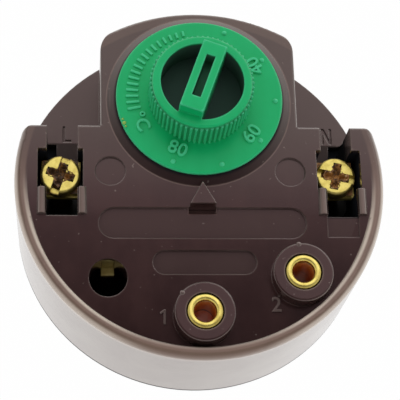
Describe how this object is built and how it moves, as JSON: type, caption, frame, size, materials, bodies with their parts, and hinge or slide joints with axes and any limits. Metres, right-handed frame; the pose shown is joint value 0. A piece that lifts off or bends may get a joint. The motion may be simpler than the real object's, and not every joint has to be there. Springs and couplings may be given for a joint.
{
  "type": "water heater thermostat",
  "caption": "Round plug-in rod thermostat head for a water heater, with a temperature dial, screw terminals, plug sockets and a sensing stem.",
  "frame": {"origin": "on the stem's axis, level with the rear face of the head", "axes": "+Z out of the dial along the stem, +Y towards the wire ledges, +X towards terminal N"},
  "size_m": [0.062, 0.062, 0.1409],
  "materials": {
    "brown_moulding": "glossy moulded brown",
    "brown_cover": "plain moulded brown",
    "green_knob": "satin moulded green",
    "brass": "plain",
    "bright_brass": "bright turned",
    "socket_brass": "turned and polished",
    "stem_brass": "drawn tube",
    "steel": "zinc plated",
    "rod_steel": "drawn rod",
    "spring_bronze": "rolled spring strip",
    "silver_contact": "silver faced",
    "ceramic": "unglazed"
  },
  "bodies": {
    "head": {"front_housing": "brown_moulding", "rear_cover": "brown_cover", "cover_screws": "steel", "spindle_carrier": "steel", "carrier_screws": "steel", "fixed_contact": "silver_contact", "contact_strip": "brass", "terminal_bar_L": "brass", "terminal_bar_N": "brass", "socket_1": "socket_brass", "socket_2": "socket_brass", "stem_tube": "stem_brass", "stem_tip": "stem_brass", "stem_bush": "brass", "stem_lock_ring": "steel"},
    "knob": {"dial_knob": "green_knob", "adjusting_spindle": "brass"},
    "nut": {"setting_nut": "brass", "pivot_pin": "steel"},
    "lever": {"setting_lever": "steel", "contact_pusher": "ceramic"},
    "blade": {"contact_blade": "spring_bronze", "blade_rivet": "brass", "moving_contact": "silver_contact"},
    "rod": {"inner_rod": "rod_steel"},
    "clamp_L": {"clamp_plate_L": "bright_brass"},
    "clamp_N": {"clamp_plate_N": "bright_brass"},
    "screw_L": {"terminal_screw_L": "bright_brass"},
    "screw_N": {"terminal_screw_N": "bright_brass"}
  },
  "joints": [
    {"name": "knob_turn", "type": "hinge", "parent": "head", "child": "knob", "pos_m": [0, 0, 0.0227], "axis": [0, 0, 1], "range_deg": [-159, 22]},
    {"name": "nut_travel", "type": "slide", "parent": "head", "child": "nut", "axis": [0, 0, 1], "range_m": [-0.0000427, 0.000309]},
    {"name": "lever_tilt", "type": "hinge", "parent": "nut", "child": "lever", "pos_m": [0, -0.003, 0.00895], "axis": [-1, 0, 0], "range_deg": [0, 2.2]},
    {"name": "rod_drop", "type": "slide", "parent": "head", "child": "rod", "axis": [0, 0, 1], "range_m": [-0.000115, 0]},
    {"name": "blade_lift", "type": "hinge", "parent": "head", "child": "blade", "pos_m": [-0.012, -0.015, 0.0071], "axis": [0, -1, 0], "range_deg": [0, 2.2]},
    {"name": "clamp_travel_L", "type": "slide", "parent": "head", "child": "clamp_L", "axis": [0, 0, 1], "range_m": [-0.0035, 0]},
    {"name": "screw_turn_L", "type": "hinge", "parent": "clamp_L", "child": "screw_L", "pos_m": [-0.0234, -0.0125, 0.018], "axis": [0, 0, 1], "range_deg": [-1800, 0]},
    {"name": "clamp_travel_N", "type": "slide", "parent": "head", "child": "clamp_N", "axis": [0, 0, 1], "range_m": [-0.0035, 0]},
    {"name": "screw_turn_N", "type": "hinge", "parent": "clamp_N", "child": "screw_N", "pos_m": [0.0234, -0.0125, 0.018], "axis": [0, 0, 1], "range_deg": [-1800, 0]}
  ],
  "couplings": [
    {"joint": "knob_turn", "follows": "nut_travel", "rad_per_m": -8976},
    {"joint": "lever_tilt", "follows": "rod_drop", "rad_per_m": -333.33},
    {"joint": "blade_lift", "follows": "rod_drop", "rad_per_m": -333.33},
    {"joint": "screw_turn_L", "follows": "clamp_travel_L", "rad_per_m": 8975.9},
    {"joint": "screw_turn_N", "follows": "clamp_travel_N", "rad_per_m": 8975.9}
  ]
}
